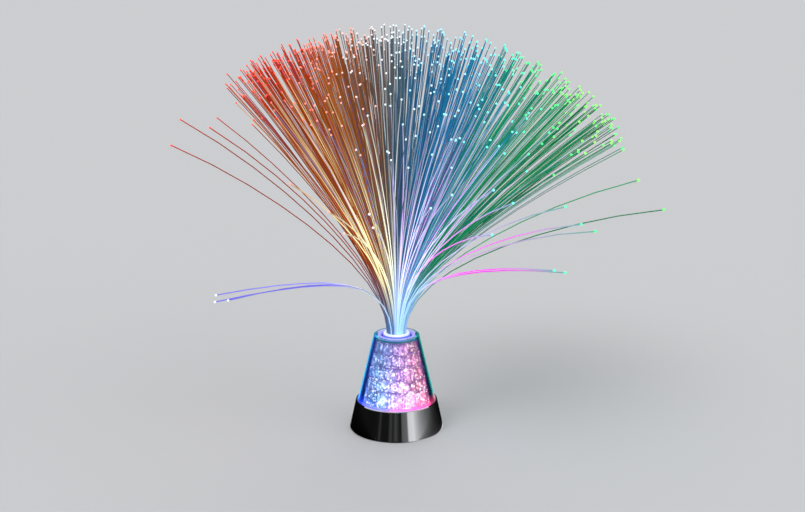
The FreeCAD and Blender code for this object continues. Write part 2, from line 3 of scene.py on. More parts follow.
import bmesh
import bpy
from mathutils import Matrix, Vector


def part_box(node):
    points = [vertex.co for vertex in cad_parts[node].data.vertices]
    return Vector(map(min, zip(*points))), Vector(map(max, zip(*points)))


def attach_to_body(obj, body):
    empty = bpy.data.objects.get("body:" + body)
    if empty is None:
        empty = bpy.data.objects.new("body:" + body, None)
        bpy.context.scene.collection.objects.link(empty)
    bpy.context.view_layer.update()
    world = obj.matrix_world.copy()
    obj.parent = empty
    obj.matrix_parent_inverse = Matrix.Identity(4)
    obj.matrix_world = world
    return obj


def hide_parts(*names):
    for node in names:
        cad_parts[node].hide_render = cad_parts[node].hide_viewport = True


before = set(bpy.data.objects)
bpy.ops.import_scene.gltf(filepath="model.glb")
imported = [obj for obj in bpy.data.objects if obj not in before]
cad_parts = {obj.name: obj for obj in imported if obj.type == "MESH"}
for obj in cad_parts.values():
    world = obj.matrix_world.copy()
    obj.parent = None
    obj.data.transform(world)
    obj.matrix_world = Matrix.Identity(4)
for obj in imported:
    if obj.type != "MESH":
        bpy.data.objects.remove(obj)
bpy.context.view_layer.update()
scene = bpy.context.scene
scene.view_settings.view_transform = "Standard"

# Camera. It stands a little over a metre in front of the lamp, above the spray's top, and looks
# down at it. The lamp's axis lies slightly left of the picture's middle.
camera_data = bpy.data.cameras.new("camera")
camera_data.sensor_width = 36.0
camera_data.lens = 55.9
camera = bpy.data.objects.new("camera", camera_data)
camera.location = (0.0055, -1.095, 0.433)
down_tilt = 13.85
camera.rotation_euler = (math.radians(90 - down_tilt), 0, 0)
scene.collection.objects.link(camera)
scene.camera = camera


# Floor and sky. A plain pale matt floor keeps the lamp's shadow. Behind it stands the same pale
# colour, which the camera, metal and glass see, so that no horizon shows.
def new_material(name):
    made = bpy.data.materials.new(name)
    made.use_nodes = True
    made.node_tree.nodes.clear()
    return made, made.node_tree


def attach(tree, value, socket):
    """Links an output to an input, or writes a plain value into it."""
    if isinstance(value, bpy.types.NodeSocket):
        tree.links.new(value, socket)
    else:
        socket.default_value = value


def add(tree, kind, values=(), **settings):
    """Adds a node, with its settings and the values or links of its inputs."""
    made = tree.nodes.new(kind)
    for key, value in settings.items():
        setattr(made, key, value)
    for key, value in dict(values).items():
        attach(tree, value, made.inputs[key])
    return made


def calc(tree, operation, a, b=0.0, c=0.0):
    return add(tree, "ShaderNodeMath", {0: a, 1: b, 2: c}, operation=operation).outputs[0]


def between(tree, value, low, high, start=0.0, end=1.0):
    """How far a value is on its way between two levels, held at both ends."""
    return add(tree, "ShaderNodeMapRange",
               {0: value, 1: low, 2: high, 3: start, 4: end}).outputs[0]


def on_lamp(tree):
    """Where a point lies on the lamp, in metres."""
    return add(tree, "ShaderNodeTexCoord").outputs["Object"]


def parts_of(tree):
    """The X, Y and Z of a point of the lamp."""
    return add(tree, "ShaderNodeSeparateXYZ", {0: on_lamp(tree)}).outputs


def noise(tree, place, scale, detail):
    return add(tree, "ShaderNodeTexNoise",
               {"Vector": place, "Scale": scale, "Detail": detail}).outputs[0]


def finish(tree, values):
    """Ends a material in one skin, with values or links on its sockets."""
    skin = add(tree, "ShaderNodeBsdfPrincipled", values)
    add(tree, "ShaderNodeOutputMaterial", {0: skin.outputs[0]})


def new_group(tree_kind, name, inputs, outputs):
    """A node group with (name, kind, value) inputs and (name, kind) outputs."""
    group = bpy.data.node_groups.new(name, tree_kind)
    for label, kind, value in inputs:
        socket = group.interface.new_socket(label, in_out="INPUT",
                                            socket_type="NodeSocket" + kind)
        if value is not None:
            socket.default_value = value
    for label, kind in outputs:
        group.interface.new_socket(label, in_out="OUTPUT", socket_type="NodeSocket" + kind)
    return group, add(group, "NodeGroupInput").outputs


sky_light = 0.60
floor_colour = (0.62, 0.63, 0.65, 1)
floor_size = 60.0
world = bpy.data.worlds.new("studio")
world.use_nodes = True
sky = world.node_tree
sky.nodes.clear()
path = add(sky, "ShaderNodeLightPath")
seen = calc(sky, "MAXIMUM", path.outputs["Is Camera Ray"], path.outputs["Is Glossy Ray"])
seen = calc(sky, "MAXIMUM", seen, path.outputs["Is Transmission Ray"])
soft = add(sky, "ShaderNodeBackground", {"Color": (1, 1, 1, 1), "Strength": sky_light})
shown = add(sky, "ShaderNodeBackground", {"Color": floor_colour, "Strength": 1.0})
mix = add(sky, "ShaderNodeMixShader", {0: seen, 1: soft.outputs[0], 2: shown.outputs[0]})
add(sky, "ShaderNodeOutputWorld", {0: mix.outputs[0]})
scene.world = world

haze, given = new_group(
    "ShaderNodeTree", "surface_haze",
    [("Scale", "Float", 100.0), ("Smoothest", "Float", 0.1), ("Roughest", "Float", 0.2)],
    [("Roughness", "Float")],
)
cloud = noise(haze, on_lamp(haze), given["Scale"], 3.0)
add(haze, "NodeGroupOutput",
    {0: between(haze, cloud, 0.0, 1.0, given["Smoothest"], given["Roughest"])})


def hazed(tree, scale, smoothest, roughest):
    """A roughness that changes a little over the surface, as on any handled piece."""
    made = add(tree, "ShaderNodeGroup", {"Scale": scale, "Smoothest": smoothest,
                                         "Roughest": roughest}, node_tree=haze)
    return made.outputs["Roughness"]


bpy.ops.mesh.primitive_plane_add(size=floor_size, location=(0, 0, 0))
floor = bpy.context.object
floor.name = "floor"
floor_paint, tree = new_material("pale_floor")
finish(tree, {
    "Base Color": floor_colour,
    "Roughness": hazed(tree, 3.0, 0.86, 0.94),
    "Specular IOR Level": 0.0,
})
floor.data.materials.append(floor_paint)


# Studio light. Three wide soft lamps shape the plain light of the sky and light the whole floor
# evenly. A round wall and apron, which only reflections see, give the chrome its upright bands.
def soft_lamp(name, place, spread, power):
    data = bpy.data.lights.new(name, "SUN")
    data.angle = math.radians(spread)
    data.energy = power
    made = bpy.data.objects.new(name, data)
    made.location = place
    made.rotation_euler = Vector(place).to_track_quat("Z", "Y").to_euler()
    made.visible_glossy = False
    scene.collection.objects.link(made)
    return made


soft_lamp("key_lamp", (-0.9, -1.0, 1.7), 30.0, 0.95)
soft_lamp("fill_lamp", (1.3, -0.9, 1.2), 50.0, 0.35)
soft_lamp("back_lamp", (0.3, 1.4, 1.5), 40.0, 0.30)


def stop_ramp(tree, value, stops):
    """A colour ramp's output, from (share, colour) stops."""
    made = add(tree, "ShaderNodeValToRGB", {0: value})
    for i, (share, colour) in enumerate(stops):
        stop = made.color_ramp.elements[i] if i < 2 else made.color_ramp.elements.new(share)
        stop.position = share
        stop.color = tuple(colour) + (1,)
    return made.outputs[0]


def scaled(tree, colour, factor):
    return add(tree, "ShaderNodeVectorMath", {0: colour, "Scale": factor},
               operation="SCALE").outputs[0]


def summed(tree, a, b):
    return add(tree, "ShaderNodeVectorMath", {0: a, 1: b}, operation="ADD").outputs[0]


def from_axis(tree, parts):
    """How far from the lamp's axis a point lies."""
    level = add(tree, "ShaderNodeCombineXYZ", {0: parts["X"], 1: parts["Y"]}).outputs[0]
    return add(tree, "ShaderNodeVectorMath", {0: level}, operation="LENGTH").outputs["Value"]


wall_radius = 2.0
wall_height = 1.6
apron_level = 0.0002
apron_dimmed = (0.05, 0.30)
foot_line_reach = (0.0470, 0.0455)
band_paint, tree = new_material("reflection_bands")
parts = parts_of(tree)
angle = calc(tree, "ARCTAN2", parts["X"], calc(tree, "MULTIPLY", parts["Y"], -1.0))
around = calc(tree, "MULTIPLY_ADD", angle, 1 / math.tau, 0.5)
reflected_bands = [
    (-180, 0.10), (-168, 0.02), (-130, 0.008), (-62, 0.006), (-47, 0.008), (-42, 0.035),
    (-37, 0.008), (-21, 0.008), (-14, 0.05), (-9, 0.012), (-2, 0.06), (4, 0.025), (8, 0.012),
    (12, 0.012), (13.5, 0.11), (27, 0.15), (30, 0.72), (43, 0.80), (50, 0.56), (60, 0.36),
    (68, 0.25), (82, 0.13), (100, 0.05), (122, 0.012), (168, 0.02), (180, 0.10),
]
bands = stop_ramp(tree, around, [((degrees + 180) / 360, (level, level, level * 1.02))
                                 for degrees, level in reflected_bands])
reach = from_axis(tree, parts)
dimmed = scaled(tree, bands, between(tree, reach, *apron_dimmed, 0.15, 1.0))
# A bright ring on the apron just outside the base's foot, at its right, which only reflections see.
right_side = stop_ramp(tree, around, [(0.52, (0, 0, 0)), (0.60, (0.7, 0.7, 0.7)),
                                      (0.76, (0.7, 0.7, 0.7)), (0.86, (0, 0, 0))])
foot_line = scaled(tree, right_side, between(tree, reach, *foot_line_reach))
glow = add(tree, "ShaderNodeEmission", {0: summed(tree, dimmed, foot_line), 1: 1.0})
add(tree, "ShaderNodeOutputMaterial", {0: glow.outputs[0]})

bpy.ops.mesh.primitive_cylinder_add(vertices=96, radius=wall_radius, depth=wall_height,
                                    end_fill_type="NOTHING", location=(0, 0, wall_height / 2))
wall = bpy.context.object
wall.name = "reflection_wall"
bpy.ops.mesh.primitive_circle_add(vertices=96, radius=wall_radius, fill_type="NGON",
                                  location=(0, 0, apron_level))
apron = bpy.context.object
apron.name = "reflection_apron"
for card in (wall, apron):
    card.data.materials.append(band_paint)
    card.visible_camera = False
    card.visible_diffuse = False
    card.visible_transmission = False
    card.visible_shadow = False

# Foot pad. A ring of matt non-slip foam rubber, stuck to the closing plate. The moulded plastics
# and the rubber share one fine grain, each with its own scale and depth.
moulded, given = new_group(
    "ShaderNodeTree", "moulded_grain",
    [("Color", "Color", (0.5, 0.5, 0.5, 1)), ("Roughness", "Float", 0.5),
     ("Scale", "Float", 900.0), ("Depth", "Float", 0.2)],
    [("Color", "Color"), ("Roughness", "Float"), ("Normal", "Vector")],
)
place = on_lamp(moulded)
fine = noise(moulded, place, given["Scale"], 4.0)
spread = between(moulded, noise(moulded, place, 40.0, 3.0), 0.0, 1.0, 0.78, 1.22)
bump = add(moulded, "ShaderNodeBump", {"Strength": given["Depth"], "Distance": 0.0002,
                                       "Height": fine})
add(moulded, "NodeGroupOutput", {
    0: scaled(moulded, given["Color"], spread),
    1: calc(moulded, "MULTIPLY", given["Roughness"], spread),
    2: bump.outputs[0],
})


def grained(name, colour, roughness, scale, depth):
    """A moulded plastic or rubber with its own colour and grain."""
    made, tree = new_material(name)
    surface = add(tree, "ShaderNodeGroup", {"Color": colour + (1,), "Roughness": roughness,
                                            "Scale": scale, "Depth": depth}, node_tree=moulded)
    finish(tree, {
        "Base Color": surface.outputs["Color"],
        "Roughness": surface.outputs["Roughness"],
        "Normal": surface.outputs["Normal"],
    })
    return made


def dress(material, *nodes):
    """Gives a finish to pieces whose own shape stays."""
    for node in nodes:
        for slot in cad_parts[node].material_slots:
            slot.material = material


dress(grained("foot_rubber", (0.035, 0.035, 0.037), 0.85, 1400.0, 0.6), "foot_pad")

# Closing plate, battery bay and door. Black ABS with a fine moulded grain. The plate is held by
# two screws, and the door hooks over its edge and latches at the other end.
dress(grained("black_abs", (0.030, 0.030, 0.034), 0.46, 2200.0, 0.35),
      "base_plate", "battery_bay", "battery_door")

# Switch. A black nylon slide switch on the closing plate, whose ribbed knob is a little shinier
# than the plate. The socket's tongue and the control chip are of the same black.
dress(grained("black_nylon", (0.045, 0.045, 0.050), 0.34, 3000.0, 0.15),
      "switch_body", "switch_knob", "usb_tongue", "control_chip")

# Plated metal. Nickel-plated steel: the cells' bowed spring terminals on the bay's end walls, the
# socket's sleeve and all screws.
plated, tree = new_material("nickel_plate")
brushed = add(tree, "ShaderNodeMapping", {0: on_lamp(tree), "Scale": (1, 12, 12)}).outputs[0]
lines = noise(tree, brushed, 300.0, 4.0)
finish(tree, {
    "Base Color": stop_ramp(tree, lines, [(0.0, (0.55, 0.54, 0.50)), (1.0, (0.74, 0.73, 0.70))]),
    "Metallic": 1.0,
    "Roughness": between(tree, lines, 0.0, 1.0, 0.22, 0.42),
})
dress(plated, "terminal_positive", "terminal_negative", "terminal_bridge_left",
      "terminal_bridge_right", "usb_shell", "board_screws")

# Base screws. Two plated screws through the closing plate into the base, whose sunk flat heads
# have a cross recess.
screw_low, screw_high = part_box("base_screws")
corners = [v.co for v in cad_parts["base_screws"].data.vertices]
screw_sizes = {
    "Foot": screw_low[2],
    "Head back": min(c.z for c in corners if c.z > screw_low[2] + 0.0002),
    "Tip": screw_high[2],
    "Head radius": screw_high[1],
    "Shank radius": max(c.y for c in corners if c.z > screw_high[2] - 0.0001),
    "Recess length": 0.0026,
    "Recess width": 0.0006,
    "Recess depth": 0.0005,
}
turning_seed = 3
screws, given = new_group(
    "GeometryNodeTree", "cross_head_screws",
    [("Geometry", "Geometry", None), ("Metal", "Material", None), ("Seed", "Int", turning_seed)]
    + [(label, "Float", size) for label, size in screw_sizes.items()],
    [("Geometry", "Geometry")],
)


def raised(piece, height):
    """Lifts a piece to a height on the screw's axis."""
    lift = add(screws, "ShaderNodeCombineXYZ", {"Z": height}).outputs[0]
    return add(screws, "GeometryNodeTransform",
               {"Geometry": piece.outputs["Mesh"], "Translation": lift}).outputs[0]


def round_part(corner_count, radius, low, high):
    """A cylinder between two heights."""
    made = add(screws, "GeometryNodeMeshCylinder", {
        "Vertices": corner_count, "Radius": radius, "Depth": calc(screws, "SUBTRACT", high, low)})
    return raised(made, calc(screws, "MULTIPLY", calc(screws, "ADD", low, high), 0.5))


head = round_part(64, given["Head radius"], given["Foot"], given["Head back"])
shank = round_part(32, given["Shank radius"], given["Head back"], given["Tip"])
cross = add(screws, "GeometryNodeJoinGeometry")
cut_height = calc(screws, "MULTIPLY", given["Recess depth"], 2.0)
for along_x, along_y in (("length", "width"), ("width", "length")):
    size = add(screws, "ShaderNodeCombineXYZ", {
        0: given["Recess " + along_x], 1: given["Recess " + along_y], 2: cut_height})
    arm = add(screws, "GeometryNodeMeshCube", {"Size": size.outputs[0]})
    screws.links.new(raised(arm, given["Foot"]), cross.inputs[0])
cut = add(screws, "GeometryNodeMeshBoolean", {"Mesh 1": head}, operation="DIFFERENCE")
screws.links.new(cross.outputs[0], cut.inputs["Mesh 2"])
one = add(screws, "GeometryNodeJoinGeometry")
screws.links.new(cut.outputs["Mesh"], one.inputs[0])
screws.links.new(shank, one.inputs[0])
turn = add(screws, "FunctionNodeRandomValue", {"Max": (0, 0, math.pi), "Seed": given["Seed"]},
           data_type="FLOAT_VECTOR")
placed = add(screws, "GeometryNodeInstanceOnPoints", {
    "Points": given["Geometry"],
    "Instance": one.outputs[0],
    "Rotation": turn.outputs["Value"],
})
placed = add(screws, "GeometryNodeRealizeInstances", {0: placed.outputs[0]})
placed = add(screws, "GeometryNodeSetMaterial", {"Geometry": placed.outputs[0],
                                                 "Material": given["Metal"]})
add(screws, "NodeGroupOutput", {0: placed.outputs[0]})


def made_with(group, name, points, choices, values=()):
    """Runs a node group on points, each of which may hold named values, into a plain mesh."""
    mesh = bpy.data.meshes.new(name + "_points")
    mesh.from_pydata(points, [], [])
    for label, numbers in dict(values).items():
        mesh.attributes.new(label, "FLOAT", "POINT").data.foreach_set("value", numbers)
    made = bpy.data.objects.new(name, mesh)
    scene.collection.objects.link(made)
    modifier = made.modifiers.new(group.name, "NODES")
    modifier.node_group = group
    for item in group.interface.items_tree:
        if item.in_out == "INPUT" and item.name in choices:
            modifier[item.identifier] = choices[item.name]
    made.update_tag()
    depsgraph = bpy.context.evaluated_depsgraph_get()
    solid = bpy.data.meshes.new_from_object(made.evaluated_get(depsgraph))
    made.modifiers.clear()
    made.data = solid
    return made


screw_reach = screw_high[0] - screw_sizes["Head radius"]
base_screws = made_with(screws, "cross_head_screws", [(-screw_reach, 0, 0), (screw_reach, 0, 0)],
                        {"Metal": plated})
base_screws.data.shade_smooth()
base_screws.data.set_sharp_from_angle(angle=math.radians(30))
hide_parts("base_screws")
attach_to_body(base_screws, "housing")


# Cells. Three AA cells side by side in the bay, in a dark blue plastic wrap that leaves the steel
# bare at each end.
def blended(tree, factor, a, b):
    return add(tree, "ShaderNodeMix", {"Factor": factor, "A": a, "B": b},
               data_type="RGBA").outputs["Result"]


wrap_end = 0.0238
wrap, tree = new_material("cell_wrap")
far_end = calc(tree, "GREATER_THAN", calc(tree, "ABSOLUTE", parts_of(tree)["X"]), wrap_end)
finish(tree, {
    "Base Color": blended(tree, far_end, (0.03, 0.10, 0.24, 1), (0.62, 0.61, 0.58, 1)),
    "Metallic": far_end,
    "Roughness": hazed(tree, 220.0, 0.22, 0.40),
})
dress(wrap, "battery_1", "battery_2", "battery_3")

# Boards. White-masked circuit boards with faint copper tracks under the mask: the light board on
# two posts over the bay, and the socket's small board on the closing plate.
board, tree = new_material("white_board")
tracks = add(tree, "ShaderNodeTexVoronoi", {"Vector": on_lamp(tree), "Scale": 260.0},
             feature="DISTANCE_TO_EDGE", distance="EUCLIDEAN")
track = between(tree, tracks.outputs["Distance"], 0.05, 0.09, 1.0, 0.0)
finish(tree, {
    "Base Color": blended(tree, track, (0.80, 0.81, 0.78, 1), (0.66, 0.70, 0.62, 1)),
    "Roughness": between(tree, track, 0.0, 1.0, 0.42, 0.30),
})
dress(board, "light_board", "usb_board")


# Light sources. Small flat sources in clear resin, three under the bundle and six that shine up
# into the crystals.
def lit_source(name, colour):
    made, tree = new_material(name)
    tone = blended(tree, noise(tree, on_lamp(tree), 500.0, 2.0), colour + (1,), (1, 1, 1, 1))
    finish(tree, {
        "Base Color": tone,
        "Roughness": hazed(tree, 500.0, 0.08, 0.20),
        "Emission Color": tone,
        "Emission Strength": 1.0,
    })
    return made


dress(lit_source("red_source", (1.0, 0.03, 0.08)), "led_red")
dress(lit_source("green_source", (0.05, 1.0, 0.25)), "led_green")
dress(lit_source("blue_source", (0.05, 0.20, 1.0)), "led_blue")
dress(lit_source("colour_changing_source", (0.75, 0.55, 1.0)), "crystal_leds")

# Leads. Flat twin leads in a red and a black sleeve, from the cells, the switch and the socket up
# to the board. The seam between the sleeves is a fine matt line.
seam_width = 0.0002


def twin_lead(name, axis):
    """Finishes a lead whose sleeves lie side by side along an axis."""
    made, tree = new_material(name)
    low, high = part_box(name)
    middle = (low[axis] + high[axis]) / 2
    off = calc(tree, "SUBTRACT", parts_of(tree)[axis], middle)
    red_half = calc(tree, "GREATER_THAN", off, 0.0)
    finish(tree, {
        "Base Color": blended(tree, red_half, (0.03, 0.03, 0.03, 1), (0.42, 0.02, 0.02, 1)),
        "Roughness": between(tree, calc(tree, "ABSOLUTE", off), 0.0, seam_width, 0.7, 0.40),
    })
    dress(made, name)


twin_lead("lead_battery", 1)
twin_lead("lead_switch", 0)
twin_lead("lead_usb", 0)

# Chromed base. A moulded ABS cone with bright plating, a thin lip round the clear cone's foot and
# a window for the power plug at the back. The plating has faint wipe marks.
sharp_from = math.radians(25)


def radii(node, height, within=0.00004):
    """The smallest and largest radius of a node's corners at a height, in metres."""
    found = [
        math.hypot(v.co.x, v.co.y)
        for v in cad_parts[node].data.vertices
        if abs(v.co.z - height) < within
    ]
    return min(found), max(found)


def link_piece(name, mesh, material):
    made = bpy.data.objects.new(name, mesh)
    if material is not None:
        mesh.materials.clear()
        mesh.materials.append(material)
    scene.collection.objects.link(made)
    return made


def turned(name, outline, material, segments, edge=0.0):
    """A closed turned mesh from (radius, height) points. An edge width rounds its corners."""
    work = bmesh.new()
    rings = []
    for radius, height in outline:
        ring = []
        for i in range(segments):
            a = math.tau * i / segments
            ring.append(work.verts.new((radius * math.cos(a), radius * math.sin(a), height)))
        rings.append(ring)
    for lower, upper in zip(rings, rings[1:] + rings[:1]):
        for i in range(segments):
            j = (i + 1) % segments
            work.faces.new((lower[i], lower[j], upper[j], upper[i]))
    bmesh.ops.recalc_face_normals(work, faces=work.faces)
    mesh = bpy.data.meshes.new(name)
    work.to_mesh(mesh)
    work.free()
    mesh.shade_smooth()
    mesh.set_sharp_from_angle(angle=sharp_from)
    made = link_piece(name, mesh, material)
    if edge:
        bevel = made.modifiers.new("rounded_edges", "BEVEL")
        bevel.width = edge
        bevel.segments = 3
        bevel.limit_method = "ANGLE"
        bevel.angle_limit = math.radians(20)
        bevel.harden_normals = True
    return made


base_low, base_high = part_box("base_shell")
cone_low, cone_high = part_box("cone_shell")
foot_radius = base_high[0]
base_inside = radii("base_shell", base_low[2])[0]
lip_inside, lip_edge = radii("base_shell", base_high[2])
seat_inside = radii("base_shell", cone_low[2])[0]
lip_chamfer = 0.0007
edge_chamfer = 0.0005
ledge_depth = 0.0015

chrome, tree = new_material("bright_chrome")
place = on_lamp(tree)
drawn = add(tree, "ShaderNodeMapping", {0: place, "Scale": (60, 60, 9)}).outputs[0]
smear = noise(tree, place, 45.0, 3.0)
marks = calc(tree, "MULTIPLY", noise(tree, drawn, 4.0, 6.0), smear)
bump = add(tree, "ShaderNodeBump", {"Strength": 0.04, "Distance": 0.0002, "Height": smear})
finish(tree, {
    "Base Color": (0.80, 0.81, 0.83, 1),
    "Metallic": 1.0,
    "Roughness": between(tree, marks, 0.1, 0.45, 0.03, 0.10),
    "Normal": bump.outputs[0],
})

flare = (foot_radius - (lip_edge + lip_chamfer)) / (base_high[2] - base_low[2])
base = turned("chromed_base", [
    (base_inside, base_low[2]),
    (foot_radius - edge_chamfer, base_low[2]),
    (foot_radius - flare * edge_chamfer, base_low[2] + edge_chamfer),
    (lip_edge + lip_chamfer + flare * lip_chamfer, base_high[2] - lip_chamfer),
    (lip_edge, base_high[2]),
    (lip_inside, base_high[2]),
    (lip_inside, cone_low[2]),
    (seat_inside, cone_low[2]),
    (seat_inside, cone_low[2] - ledge_depth),
    (base_inside - flare * (cone_low[2] - base_low[2]), cone_low[2] - ledge_depth),
], chrome, segments=192)


def block_mesh(name, middle, size):
    """A box as a plain object, used as a cutter."""
    work = bmesh.new()
    bmesh.ops.create_cube(work, size=1.0)
    for corner in work.verts:
        for axis in range(3):
            corner.co[axis] = middle[axis] + corner.co[axis] * size[axis]
    mesh = bpy.data.meshes.new(name)
    work.to_mesh(mesh)
    work.free()
    return link_piece(name, mesh, None)


def cut_away(piece, *cutters):
    """Cuts the cutters out of a piece and deletes them."""
    for cutter in cutters:
        cut = piece.modifiers.new(cutter.name, "BOOLEAN")
        cut.object = cutter
        cut.operation = "DIFFERENCE"
        cut.solver = "EXACT"
    depsgraph = bpy.context.evaluated_depsgraph_get()
    solid = bpy.data.meshes.new_from_object(piece.evaluated_get(depsgraph))
    piece.modifiers.clear()
    piece.data = solid
    for cutter in cutters:
        bpy.data.objects.remove(cutter)
    piece.data.set_sharp_from_angle(angle=sharp_from)


usb_low, usb_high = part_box("usb_shell")
usb_middle = (usb_low[2] + usb_high[2]) / 2
window_size = (0.0128, 0.012, 0.0070)
cut_away(base, block_mesh("plug_window", (0, foot_radius - 0.004, usb_middle), window_size))
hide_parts("base_shell")
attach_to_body(base, "housing")

# Crystal floor. A clear plate over the light board that carries the crystals. It has a painted
# glow in its emission, blue at the left and red at the right, for the light from below.
light_reach = 0.036
below, given = new_group("ShaderNodeTree", "light_from_below",
                         [("Reach", "Float", light_reach)], [("Color", "Color")])
across = calc(below, "DIVIDE", parts_of(below)["X"], given["Reach"])
add(below, "NodeGroupOutput", {0: stop_ramp(below, calc(below, "MULTIPLY_ADD", across, 0.5, 0.5), [
    (0.0, (0.02, 0.06, 0.80)), (0.35, (0.06, 0.08, 0.95)), (0.52, (0.55, 0.10, 0.85)),
    (0.70, (1.0, 0.05, 0.30)), (1.0, (1.0, 0.02, 0.10)),
])})


def lit_from_below(tree):
    return add(tree, "ShaderNodeGroup", {"Reach": light_reach}, node_tree=below).outputs["Color"]


lit_floor, tree = new_material("lit_crystal_floor")
finish(tree, {
    "Base Color": (0.80, 0.85, 1.0, 1),
    "Roughness": hazed(tree, 150.0, 0.05, 0.20),
    "IOR": 1.49,
    "Transmission Weight": 0.5,
    "Emission Color": lit_from_below(tree),
    "Emission Strength": 0.9,
})
dress(lit_floor, "crystal_floor")

# Clear cone. A turned acrylic wall two millimetres thick, open at the top, whose foot is held by
# the base's lip. Light is painted into its colour and emission: its cut rim glows cyan, its foot
# violet at the left and pink at the right, the wall low down glows with the light from below, and
# where the wall is seen edge-on at each side it is painted dark with a cyan edge.
rim_inside, rim_outside = radii("cone_shell", cone_high[2])
foot_inside = radii("cone_shell", cone_low[2])[0]
foot_outside = cone_high[0]
rim_chamfer = 0.0005
foot_height = 0.0020
foot_step = 0.0004
wall_slope = (foot_inside - rim_inside) / (cone_high[2] - cone_low[2])
wall_thickness = rim_outside + rim_chamfer - rim_inside

acrylic, tree = new_material("clear_acrylic")
parts = parts_of(tree)
height = parts["Z"]
drop = calc(tree, "SUBTRACT", cone_high[2], height)
here = calc(tree, "MULTIPLY_ADD", drop, wall_slope, rim_outside + rim_chamfer)
side = calc(tree, "MULTIPLY_ADD", calc(tree, "DIVIDE", parts["X"], here), 0.5, 0.5)
# Painted light and shade where the wall is seen edge-on: cyan at the very edge, dark beside it and
# clear between.
painted_edge_light_and_shade = stop_ramp(tree, side, [
    (0.0, (0.30, 0.75, 1.0)), (0.005, (0.20, 0.60, 0.95)), (0.012, (0.01, 0.05, 0.24)),
    (0.052, (0.012, 0.07, 0.28)), (0.078, (0.92, 0.96, 1.0)), (0.922, (0.94, 0.97, 0.98)),
    (0.948, (0.008, 0.08, 0.10)), (0.988, (0.004, 0.06, 0.08)), (0.995, (0.12, 0.50, 0.48)),
    (1.0, (0.24, 0.70, 0.62)),
])
at_rim = between(tree, height, cone_high[2] - 0.0008, cone_high[2] - 0.0003)
at_foot = between(tree, height, base_high[2] + 0.0011, base_high[2] + 0.0005)
low = between(tree, height, base_high[2] + 0.0075, base_high[2] + 0.0010)
wall_glow = stop_ramp(tree, side, [
    (0.0, (0.05, 0.50, 0.75)), (0.005, (0.04, 0.36, 0.62)), (0.012, (0.0, 0.006, 0.05)),
    (0.06, (0.0, 0.0, 0.01)), (0.94, (0.0, 0.0, 0.0)), (0.988, (0.0, 0.010, 0.010)),
    (0.995, (0.02, 0.24, 0.22)), (1.0, (0.04, 0.36, 0.32)),
])
low_glow = scaled(tree, lit_from_below(tree), calc(tree, "MULTIPLY", low, 0.45))
wall_glow = summed(tree, wall_glow, low_glow)
foot_glow = stop_ramp(tree, side, [
    (0.0, (0.06, 0.07, 0.42)), (0.4, (0.09, 0.05, 0.42)), (0.6, (0.30, 0.03, 0.24)),
    (0.8, (0.42, 0.03, 0.12)), (1.0, (0.40, 0.05, 0.12)),
])
rim_glow = stop_ramp(tree, side, [
    (0.0, (0.02, 0.32, 0.40)), (0.25, (0.06, 0.24, 0.40)), (0.5, (0.16, 0.18, 0.40)),
    (0.75, (0.06, 0.20, 0.30)), (1.0, (0.0, 0.26, 0.22)),
])
lower = blended(tree, at_foot, wall_glow, foot_glow)
finish(tree, {
    "Base Color": painted_edge_light_and_shade,
    "Roughness": hazed(tree, 120.0, 0.01, 0.05),
    "IOR": 1.49,
    "Transmission Weight": 1.0,
    "Emission Color": blended(tree, at_rim, lower, rim_glow),
    "Emission Strength": 0.8,
})

cone = turned("clear_cone", [
    (foot_inside, cone_low[2]),
    (foot_outside, cone_low[2]),
    (foot_outside, cone_low[2] + foot_height - foot_step),
    (foot_inside - wall_slope * foot_height + wall_thickness, cone_low[2] + foot_height),
    (rim_inside + wall_slope * rim_chamfer + wall_thickness, cone_high[2] - rim_chamfer),
    (rim_outside, cone_high[2]),
    (rim_inside, cone_high[2]),
], acrylic, segments=192)
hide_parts("cone_shell")
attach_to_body(cone, "housing")


# Crystals. Loose rounded lumps of clear cast acrylic poured into the cone. A painted glow stands
# for the light from below: blue at the left, violet in the middle and red at the right, brightest
# low in the middle, with painted white glints and veins and painted shade at the lumps' edges.
def held(tree, name):
    """A value that the mesh holds under a name."""
    return add(tree, "ShaderNodeAttribute", attribute_name=name).outputs["Fac"]


crystal_reach = 0.034
ragged = 0.012
crystal, tree = new_material("lit_crystal")
place = on_lamp(tree)
parts = parts_of(tree)
rim = held(tree, "rim")
tone = held(tree, "tone")
crumple = add(tree, "ShaderNodeTexNoise", {"Vector": place, "Scale": 190.0, "Detail": 5.0,
                                           "Distortion": 2.0}).outputs[0]
across = calc(tree, "ADD", parts["X"], between(tree, crumple, 0.0, 1.0, -ragged, ragged))
hue = stop_ramp(tree, between(tree, across, -crystal_reach, crystal_reach), [
    (0.0, (0.06, 0.28, 1.0)), (0.25, (0.20, 0.46, 1.0)), (0.40, (0.40, 0.42, 1.0)),
    (0.52, (0.74, 0.40, 1.0)), (0.66, (1.0, 0.40, 0.84)), (0.80, (1.0, 0.26, 0.50)),
    (1.0, (1.0, 0.10, 0.22)),
])
# Painted light: the glow is brightest low in the cone, dimmer toward each facet's edges and
# mottled, and each lump's own tone sets it apart at random.
low = between(tree, parts["Z"], cone_high[2] - 0.004, cone_low[2] + 0.012, 0.42, 1.0)
body = calc(tree, "MULTIPLY", between(tree, crumple, 0.36, 0.56, 0.36, 1.0),
            between(tree, rim, 0.95, 0.25, 0.45, 1.0))
body = calc(tree, "MULTIPLY", body,
            calc(tree, "MULTIPLY", low, calc(tree, "MULTIPLY_ADD", tone, 0.9, 0.55)))
lit = scaled(tree, hue, body)
